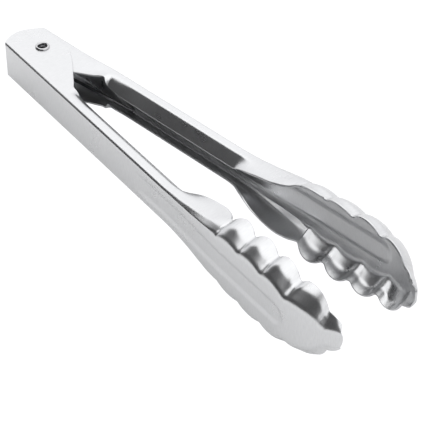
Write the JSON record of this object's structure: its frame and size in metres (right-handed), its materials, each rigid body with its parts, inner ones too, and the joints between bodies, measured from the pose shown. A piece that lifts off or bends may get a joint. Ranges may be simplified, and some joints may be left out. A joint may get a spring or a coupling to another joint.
{
  "type": "utility tongs",
  "caption": "Spring-open utility tongs: two stamped steel arms with lipped channel handles and scalloped scoops, joined by a hollow hinge rivet.",
  "frame": {"origin": "on the hinge axis, midway between the two side faces, inside the rivet's bore", "axes": "+X from the hinge to the tips, halfway between the arms; +Z along the hinge axis, out of the rivet's open end; the outer arm lies on the -Y side"},
  "size_m": [0.2449, 0.06, 0.0406],
  "materials": {
    "arm_steel": "satin brushed stainless, smoother inside the scoops",
    "rivet_steel": "bright plated, rolled end",
    "spring_wire": "drawn spring wire"
  },
  "bodies": {
    "outer_half": {"outer_arm": "arm_steel", "hinge_rivet": "rivet_steel", "torsion_spring": "spring_wire"},
    "inner_half": {"inner_arm": "arm_steel", "spring_free_leg": "spring_wire"}
  },
  "joints": [
    {"name": "arm_hinge", "type": "hinge", "parent": "outer_half", "child": "inner_half", "pos_m": [0, 0, 0], "axis": [0, 0, -1], "range_deg": [0, 9.2], "stiffness_Nm_per_rad": 0.27, "springref_deg": -51.57}
  ]
}
